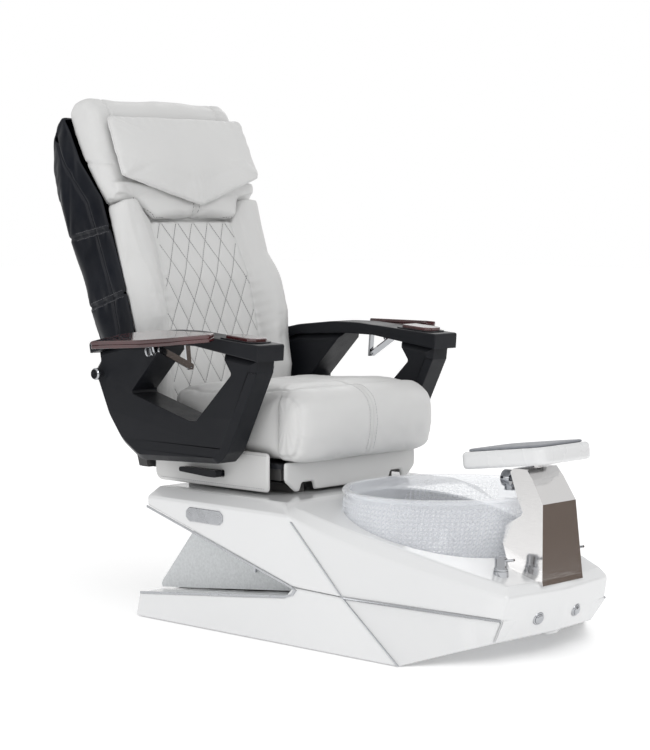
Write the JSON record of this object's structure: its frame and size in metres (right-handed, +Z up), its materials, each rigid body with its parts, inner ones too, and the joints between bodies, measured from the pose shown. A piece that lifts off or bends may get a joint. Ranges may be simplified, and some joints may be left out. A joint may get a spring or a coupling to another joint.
{
  "type": "pedicure spa chair",
  "caption": "Reclining upholstered spa chair on a moulded base with a clear foot bowl, spray tower, tilting footrest and folding arm trays.",
  "frame": {"origin": "middle of the moulded base's footprint, on the floor", "axes": "+Z up, the sitter faces -Y, +X is the sitter's left"},
  "size_m": [1.213, 1.5729, 1.3788],
  "materials": {
    "white_gelcoat": "polished moulded gloss, near white",
    "grey_recess": "fine textured satin",
    "trim_chrome": "bright strip",
    "chrome": "mirror plated",
    "polished_steel": "polished stainless sheet",
    "frame_steel": "black powder coat",
    "clear_acrylic": "clear moulded acrylic with a cut pattern",
    "white_leather": "soft white upholstery",
    "black_vinyl": "black upholstery vinyl",
    "black_plastic": "satin moulded black",
    "burgundy_gloss": "deep burgundy lacquer",
    "grey_pad": "soft grey pad",
    "white_plastic": "white moulded gloss",
    "rubber": "black moulded"
  },
  "bodies": {
    "base": {"base_shell": "white_gelcoat", "base_skirt": "white_gelcoat", "access_panel_right": "grey_recess", "access_panel_left": "grey_recess", "rear_panel": "grey_recess", "trim_strips": "trim_chrome", "badge_plate": "trim_chrome", "floor_feet": "rubber", "base_frame": "frame_steel", "foot_bowl": "clear_acrylic", "bowl_drain": "chrome", "jet_housing": "white_plastic", "tower_shell": "polished_steel", "mixing_valves": "chrome", "button_bezels": "chrome", "slide_rails": "frame_steel"},
    "stopper": {"drain_stopper": "chrome"},
    "impeller": {"jet_impeller": "white_plastic"},
    "spray": {"spray_head": "chrome"},
    "hot_tap": {"hot_knob": "chrome"},
    "cold_tap": {"cold_knob": "chrome"},
    "start_press": {"start_button": "chrome"},
    "jet_press": {"jet_button": "chrome"},
    "latch_right": {"panel_latch_right": "chrome"},
    "latch_left": {"panel_latch_left": "chrome"},
    "footrest_slide": {"footrest_post": "polished_steel", "footrest_bracket": "polished_steel"},
    "footrest": {"footrest_shell": "white_plastic", "footrest_pad": "grey_pad"},
    "seat": {"seat_frame": "frame_steel", "seat_pan": "black_plastic", "seat_cushion": "white_leather", "front_skirt": "white_leather", "side_skirts": "white_leather", "arm_brackets": "frame_steel", "recline_motor": "frame_steel"},
    "recline_push": {"recline_rod": "polished_steel"},
    "lever": {"release_lever": "black_plastic"},
    "back": {"back_frame": "frame_steel", "back_shell": "black_vinyl", "back_cushion": "white_leather", "head_cushion": "white_leather"},
    "pillow": {"head_pillow": "white_leather"},
    "carriage": {"massage_carriage": "frame_steel"},
    "rollers": {"massage_rollers": "rubber"},
    "arm_right": {"arm_panel_right": "black_plastic", "arm_beam_right": "black_plastic", "arm_dish_right": "burgundy_gloss", "arm_knob_right": "chrome", "tray_bracket_right": "chrome"},
    "tray_right": {"service_tray_right": "burgundy_gloss"},
    "brace_right": {"tray_brace_right": "chrome"},
    "arm_left": {"arm_panel_left": "black_plastic", "arm_beam_left": "black_plastic", "arm_dish_left": "burgundy_gloss", "arm_knob_left": "chrome", "tray_bracket_left": "chrome"},
    "tray_left": {"service_tray_left": "burgundy_gloss"},
    "brace_left": {"tray_brace_left": "chrome"}
  },
  "joints": [
    {"name": "seat_slide", "type": "slide", "parent": "base", "child": "seat", "axis": [0, 1, 0], "range_m": [-0.02, 0.12]},
    {"name": "lever_press", "type": "hinge", "parent": "seat", "child": "lever", "pos_m": [-0.28, 0.33, 0.388], "axis": [-1, 0, 0], "range_deg": [0, 11], "stiffness_Nm_per_rad": 2.5, "springref_deg": -14.32},
    {"name": "back_recline", "type": "hinge", "parent": "seat", "child": "back", "pos_m": [0, 0.64, 0.455], "axis": [-1, 0, 0], "range_deg": [0, 33]},
    {"name": "recline_push", "type": "slide", "parent": "seat", "child": "recline_push", "axis": [0, -1, 0], "range_m": [0, 0.033]},
    {"name": "carriage_travel", "type": "slide", "parent": "back", "child": "carriage", "axis": [0, 0.2924, 0.9563], "range_m": [0, 0.28]},
    {"name": "roller_spin", "type": "hinge", "parent": "carriage", "child": "rollers", "pos_m": [0, 0.7014, 0.65582], "axis": [1, 0, 0], "continuous": true},
    {"name": "pillow_lift", "type": "hinge", "parent": "back", "child": "pillow", "pos_m": [0, 0.8194, 1.312], "axis": [-1, 0, 0], "range_deg": [0, 70]},
    {"name": "footrest_lift", "type": "slide", "parent": "base", "child": "footrest_slide", "axis": [0, 0.2379, 0.9713], "range_m": [0, 0.05]},
    {"name": "footrest_tilt", "type": "hinge", "parent": "footrest_slide", "child": "footrest", "pos_m": [0, -0.466, 0.47], "axis": [1, 0, 0], "range_deg": [-4, 12]},
    {"name": "spray_swivel", "type": "hinge", "parent": "base", "child": "spray", "pos_m": [0, -0.43, 0.412], "axis": [0, 1, 0], "range_deg": [-40, 40]},
    {"name": "stopper_lift", "type": "slide", "parent": "base", "child": "stopper", "axis": [0, 0, 1], "range_m": [0, 0.012]},
    {"name": "impeller_spin", "type": "hinge", "parent": "base", "child": "impeller", "pos_m": [0, -0.06, 0.12], "axis": [0, 0, 1], "continuous": true},
    {"name": "hot_turn", "type": "hinge", "parent": "base", "child": "hot_tap", "pos_m": [-0.138, -0.47, 0.212], "axis": [0, 0, 1], "range_deg": [0, 90]},
    {"name": "cold_turn", "type": "hinge", "parent": "base", "child": "cold_tap", "pos_m": [0.138, -0.47, 0.212], "axis": [0, 0, -1], "range_deg": [0, 90]},
    {"name": "latch_right_turn", "type": "hinge", "parent": "base", "child": "latch_right", "pos_m": [-0.29, 0.19, 0.165], "axis": [1, 0, 0], "range_deg": [0, 90]},
    {"name": "latch_left_turn", "type": "hinge", "parent": "base", "child": "latch_left", "pos_m": [0.29, 0.19, 0.165], "axis": [-1, 0, 0], "range_deg": [0, 90]},
    {"name": "arm_right_lift", "type": "hinge", "parent": "seat", "child": "arm_right", "pos_m": [-0.31, 0.679, 0.632], "axis": [-1, 0, 0], "range_deg": [0, 60]},
    {"name": "tray_right_fold", "type": "hinge", "parent": "arm_right", "child": "tray_right", "pos_m": [-0.388, 0.27, 0.738], "axis": [0, -1, 0], "range_deg": [0, 80]},
    {"name": "brace_right_fold", "type": "hinge", "parent": "arm_right", "child": "brace_right", "pos_m": [-0.347, 0.368, 0.663], "axis": [0, -1, 0], "range_deg": [0, 100]},
    {"name": "arm_left_lift", "type": "hinge", "parent": "seat", "child": "arm_left", "pos_m": [0.31, 0.679, 0.632], "axis": [-1, 0, 0], "range_deg": [0, 60]},
    {"name": "tray_left_fold", "type": "hinge", "parent": "arm_left", "child": "tray_left", "pos_m": [0.388, 0.27, 0.738], "axis": [0, 1, 0], "range_deg": [0, 80]},
    {"name": "brace_left_fold", "type": "hinge", "parent": "arm_left", "child": "brace_left", "pos_m": [0.347, 0.368, 0.663], "axis": [0, 1, 0], "range_deg": [0, 100]},
    {"name": "start_press", "type": "slide", "parent": "base", "child": "start_press", "axis": [0.1469, 0.9474, 0.2842], "range_m": [0, 0.005], "stiffness_N_per_m": 300, "springref_m": -0.004},
    {"name": "jet_press", "type": "slide", "parent": "base", "child": "jet_press", "axis": [-0.1469, 0.9474, 0.2842], "range_m": [0, 0.005], "stiffness_N_per_m": 300, "springref_m": -0.004}
  ],
  "couplings": [
    {"joint": "recline_push", "follows": "back_recline", "m_per_rad": 0.055},
    {"joint": "brace_right_fold", "follows": "tray_right_fold", "ratio": 1.25},
    {"joint": "brace_left_fold", "follows": "tray_left_fold", "ratio": 1.25}
  ]
}
